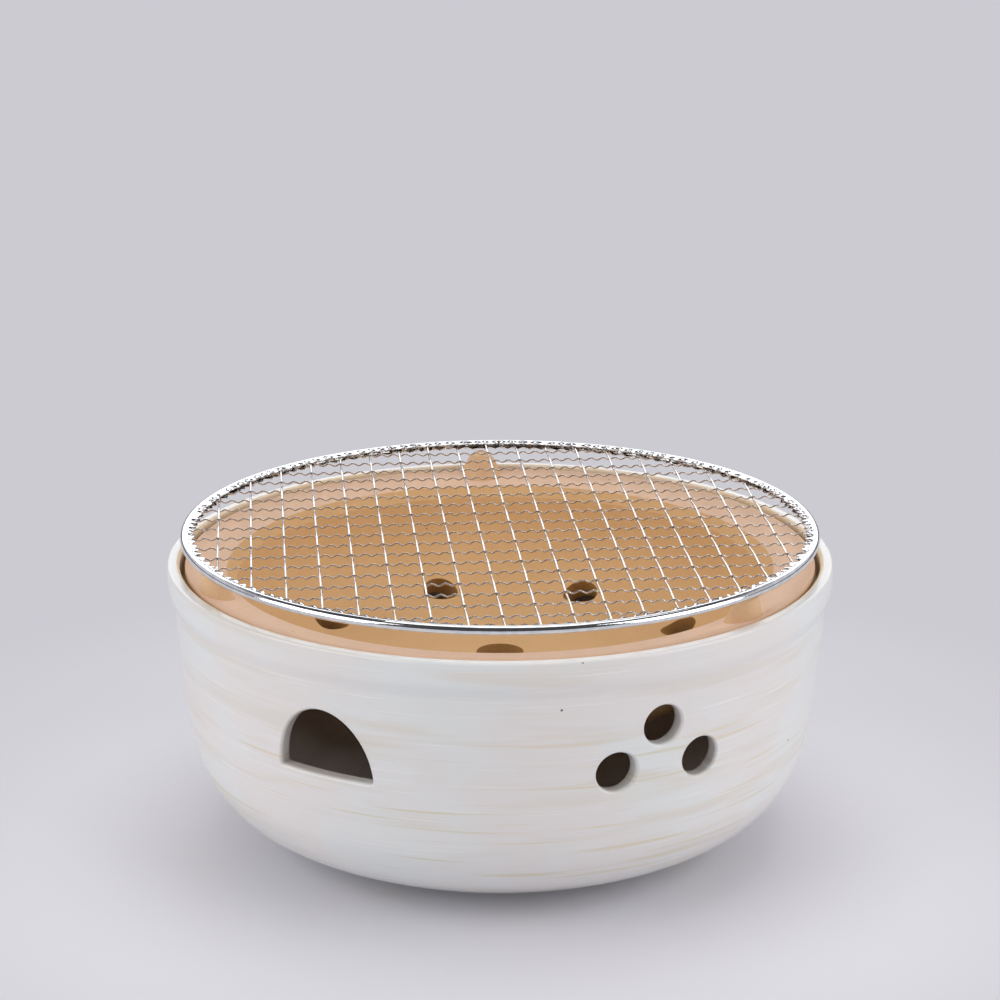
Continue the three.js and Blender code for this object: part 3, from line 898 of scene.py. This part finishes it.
# Every other wire starts its waves half a wave later, and goes over where the last went under
row_number = add_node(tree, "ShaderNodeMath",
                      {0: row_parts["Y"], 1: given["Opening"]}, operation="DIVIDE")
half_row = add_node(tree, "ShaderNodeMath", {0: rows_less, 1: 2.0}, operation="DIVIDE")
row_index = add_node(tree, "ShaderNodeMath", {0: row_number, 1: half_row}, operation="ADD")
row_whole = add_node(tree, "ShaderNodeMath", {0: row_index}, operation="ROUND")
row_late = add_node(tree, "ShaderNodeMath", {0: row_whole, 1: math.pi}, operation="MULTIPLY")
from_start = add_node(tree, "ShaderNodeMath",
                      {0: row_parts["X"], 1: given["Wave Start"]}, operation="SUBTRACT")
wave_turns = add_node(tree, "ShaderNodeMath",
                      {0: from_start, 1: given["Wave Length"]}, operation="DIVIDE")
wave_angle = add_node(tree, "ShaderNodeMath",
                      {0: wave_turns, 1: 2 * math.pi, 2: row_late}, operation="MULTIPLY_ADD")
wave = add_node(tree, "ShaderNodeMath", {0: wave_angle}, operation="COSINE")
# The arc sine of a wave is a saw edge, and a share of it gives the crimps their points
saw = add_node(tree, "ShaderNodeMath", {0: wave}, operation="ARCSINE")
saw_share = add_node(tree, "ShaderNodeMath",
                     {0: saw, 1: crimp_point_share * 2 / math.pi}, operation="MULTIPLY")
round_share = 1 - crimp_point_share
pointed = add_node(tree, "ShaderNodeMath",
                   {0: wave, 1: round_share, 2: saw_share}, operation="MULTIPLY_ADD")
row_height = add_node(tree, "ShaderNodeMath",
                      {0: pointed, 1: given["Rise"], 2: given["Height"]}, operation="MULTIPLY_ADD")
crimp_place = add_node(tree, "ShaderNodeCombineXYZ",
                       {"X": row_parts["X"], "Y": row_parts["Y"], "Z": row_height})
set_crimped = add_node(tree, "GeometryNodeSetPosition",
                       {"Geometry": rows_cut, "Position": crimp_place})
draw_wires(tree, given, set_crimped, row_place, crimped_sides)
crimped_points = round(2 * wire_end / wave_length * points_per_wave)
crimped = grow("net_crimped_wires", tree, {
    "Count": wire_count, "Opening": opening, "Points": crimped_points,
    "Wave Length": wave_length, "Wave Start": first_straight, "Rise": crimp_rise,
    "End Radius": wire_end, "Wire Radius": crimped_radius, "Height": net_z,
    "Turn": net_turn, "Material": wire_chrome})
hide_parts(*[f"net_crimped_wire_{i:02d}" for i in range(1, wire_count + 1)])
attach(crimped, "net")

# Net, rim band: a strip of thin steel rolled over the wire ends and pressed flat inside the roll,
# then plated. The pressed flange gathers in small pleats, so its inner edge is jagged. The round
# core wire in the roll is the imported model's own.
sheet_thickness = 0.35 * MM
roll_centre = net_radius - band_half
roll_steps = 14
roll_back = math.radians(115)
flange_steps = 7
band_turns = 1200
pleat_length = 5 * MM
pleat_depth = 0.5 * MM
pleat_notch = 2.6 * MM
pleat_stray = 0.7
pleat_share = 0.9
pleat_point = 1.4
pressed_share = 0.85
pressed_swing = 1.1
pressed_least = 0.6
pressed_length = 45 * MM
loose_fade = 1.2
flange_drop = 0.35 * MM
dent_length = 16 * MM
dent_depth = 0.12 * MM
upper_seed, lower_seed, dent_seed = 3.7, 11.3, 23.9
pressed_seed, uneven_seed = 7.5, 3.1


def band_section(inwards):
    """The strip's outer face, from its upper inner edge round to its lower one, as (radius,
    height, how loose the metal is), moved in by a part of the sheet's thickness."""
    half = band_half - inwards
    roll = []
    for i in range(roll_steps + 1):
        angle = roll_back - 2 * roll_back * i / roll_steps
        roll.append((roll_centre + half * math.cos(angle), half * math.sin(angle), 0))
    top = []
    for i in range(flange_steps):
        share = i / flange_steps
        radius = band_inner + (roll[0][0] - band_inner) * share
        height = roll[0][1] - flange_drop * math.cos(math.pi / 2 * share) ** 2
        top.append((radius, height, math.cos(math.pi / 2 * share) ** loose_fade))
    bottom = [(radius, -height, loose) for radius, height, loose in reversed(top)]
    return top + roll + bottom


def ripple(angle, length, seed):
    """Noise round the rim, from -1 to 1, with features of a given length."""
    size = net_radius / length
    return noise.noise(Vector((size * math.cos(angle), size * math.sin(angle), seed)))


def pleat(angle, seed):
    """How deep the flange is drawn in at an angle: 0 in the middle of a tongue, 1 in a notch."""
    stray = pleat_stray * ripple(angle, 2 * pleat_length, seed)
    place = pleat_count * angle / (2 * math.pi) + stray
    swing = pressed_swing * ripple(angle, pressed_length, seed + pressed_seed)
    pressed = max(pressed_least, min(1, pressed_share + swing))
    uneven = pleat_share + pleat_share * ripple(angle, 1.5 * pleat_length, seed + uneven_seed)
    return pressed * uneven * abs(2 * (place % 1) - 1) ** pleat_point


pleat_count = round(2 * math.pi * band_inner / pleat_length)
band_outline = band_section(0) + band_section(sheet_thickness)[::-1]
band_points = []
for angle in round_angles(band_turns):
    upper = pleat(angle, upper_seed)
    lower = pleat(angle, lower_seed)
    dent = dent_depth * (0.5 + 0.5 * ripple(angle, dent_length, dent_seed))
    for radius, height, loose in band_outline:
        crease = upper if height > 0 else lower
        out = radius + pleat_notch * loose * crease - dent * (1 - loose)
        level = net_z + height - math.copysign(pleat_depth * loose * crease, height)
        band_points.append((out * math.cos(angle), out * math.sin(angle), level))
ring = len(band_outline)
band_faces = []
for step in range(band_turns):
    for i in range(ring):
        here, ahead = step * ring, (step + 1) % band_turns * ring
        beside = (i + 1) % ring
        band_faces.append((here + i, here + beside, ahead + beside, ahead + i))
pressed_chrome = chromed_steel(
    "chrome_plate_on_pressed_sheet", "#E6E9EC", "#F4F5F6", 0.10, 4 * MM, 0.15 * MM)
band = build("net_rim_band_strip", band_points, faces=band_faces, material=pressed_chrome)
face_out(band)
band.data.shade_smooth()
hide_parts("net_rim_band")
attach(band, "net")
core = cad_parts["net_core_wire"]
core.data.materials.clear()
core.data.materials.append(wire_chrome)

# Studio: a pale floor that runs out of view, soft lamps over and beside the grill, and the
# same pale ground behind it for the eye and for reflections.
ground_colour = hex_colour("#CCCBD2")
floor_half = 6.0
near_reach = 130 * MM
far_reach = 320 * MM
floor_material, tree = start_material("painted_studio_floor")
floor = build("floor", [
    (-floor_half, -floor_half, 0), (floor_half, -floor_half, 0),
    (floor_half, floor_half, 0), (-floor_half, floor_half, 0)],
    faces=[(0, 1, 2, 3)], material=floor_material)
paper = add_node(tree, "ShaderNodeBsdfDiffuse", {"Color": hex_colour("#E0DFE5")})
glow = add_node(tree, "ShaderNodeEmission", {"Color": ground_colour, "Strength": 1})
floor_place = add_node(tree, "ShaderNodeTexCoord").outputs["Object"]
floor_reach = add_node(tree, "ShaderNodeVectorMath", {0: floor_place}, operation="LENGTH")
far_off = add_node(tree, "ShaderNodeMapRange", {
    "Value": floor_reach.outputs["Value"], "From Min": near_reach, "From Max": far_reach},
    interpolation_type="SMOOTHSTEP")
ray = add_node(tree, "ShaderNodeLightPath").outputs
seen = add_node(tree, "ShaderNodeMath",
                {0: ray["Is Camera Ray"], 1: ray["Is Glossy Ray"]}, operation="MAXIMUM")
seen_through = add_node(tree, "ShaderNodeMath",
                        {0: seen, 1: ray["Is Transmission Ray"]}, operation="MAXIMUM")
even = add_node(tree, "ShaderNodeMath", {0: far_off, 1: seen_through}, operation="MULTIPLY")
floor_mix = add_node(tree, "ShaderNodeMixShader", {0: even, 1: paper, 2: glow})
add_node(tree, "ShaderNodeOutputMaterial", {"Surface": floor_mix})

world = bpy.data.worlds.new("studio")
bpy.context.scene.world = world
world.use_nodes = True
tree = world.node_tree
tree.nodes.clear()
fill_strength = 0.42
front_strength = 0.10
ray = add_node(tree, "ShaderNodeLightPath").outputs
plain_seen = add_node(tree, "ShaderNodeMath",
                      {0: ray["Is Camera Ray"], 1: ray["Is Transmission Ray"]}, operation="MAXIMUM")
towards = add_node(tree, "ShaderNodeTexCoord").outputs["Generated"]
towards_parts = add_node(tree, "ShaderNodeSeparateXYZ", {0: towards}).outputs
# The walls are bright behind the grill, between a low and a high edge
bright_wall = 1.0
for axis, low, high in (("Z", 0.75, 0.45), ("Z", 0.06, 0.22), ("Y", -0.35, 0.45)):
    within = add_node(tree, "ShaderNodeMapRange", {
        "Value": towards_parts[axis], "From Min": low, "From Max": high},
        interpolation_type="SMOOTHSTEP")
    bright_wall = add_node(tree, "ShaderNodeMath", {0: within, 1: bright_wall}, operation="MULTIPLY")
wall_glow = add_node(tree, "ShaderNodeMapRange",
                     {"Value": bright_wall, "To Min": front_strength, "To Max": 1.0})
soft_light = add_node(tree, "ShaderNodeBackground",
                      {"Color": (1, 1, 1, 1), "Strength": fill_strength})
walls = add_node(tree, "ShaderNodeBackground", {"Color": ground_colour, "Strength": wall_glow})
ground = add_node(tree, "ShaderNodeBackground", {"Color": ground_colour, "Strength": 1})
lit_or_walls = add_node(tree, "ShaderNodeMixShader",
                        {0: ray["Is Glossy Ray"], 1: soft_light, 2: walls})
world_mix = add_node(tree, "ShaderNodeMixShader", {0: plain_seen, 1: lit_or_walls, 2: ground})
add_node(tree, "ShaderNodeOutputWorld", {"Surface": world_mix})


def soft_lamp(name, place, width, height, power):
    """A soft lamp box that faces the middle of the grill and isn't seen itself."""
    lamp = bpy.data.lights.new(name, "AREA")
    lamp.shape = "RECTANGLE"
    lamp.size = width
    lamp.size_y = height
    lamp.energy = power
    holder = bpy.data.objects.new(name, lamp)
    holder.location = place
    aim = Vector((0, 0, bowl_top / 2)) - Vector(place)
    holder.rotation_euler = aim.to_track_quat("-Z", "Y").to_euler()
    holder.visible_camera = False
    bpy.context.scene.collection.objects.link(holder)


soft_lamp("lamp_overhead", (0.1, 0.3, 1.7), width=1.2, height=1.2, power=7.0)
soft_lamp("lamp_left", (-1.5, -0.66, 0.76), width=1.5, height=1.5, power=15.9)
soft_lamp("lamp_right", (1.5, -0.64, 0.72), width=1.5, height=1.5, power=15.6)
soft_lamp("lamp_behind", (0, 2.4, 1.2), width=3.0, height=1.3, power=14)

# Camera: a long lens a metre away, looking down on the rim, as in the photograph.
camera_distance = 1052.6 * MM
camera_elevation = math.radians(17.60)
camera_pitch = math.radians(16.54)
camera = bpy.data.cameras.new("camera")
camera.lens = 100.43
camera.sensor_width = 36
camera_holder = bpy.data.objects.new("camera", camera)
camera_back = camera_distance * math.cos(camera_elevation)
camera_up = camera_distance * math.sin(camera_elevation)
camera_holder.location = (0, -camera_back, bowl_top + camera_up)
camera_holder.rotation_euler = (math.pi / 2 - camera_pitch, 0, 0)
bpy.context.scene.collection.objects.link(camera_holder)
bpy.context.scene.camera = camera_holder
bpy.context.scene.view_settings.view_transform = "Standard"
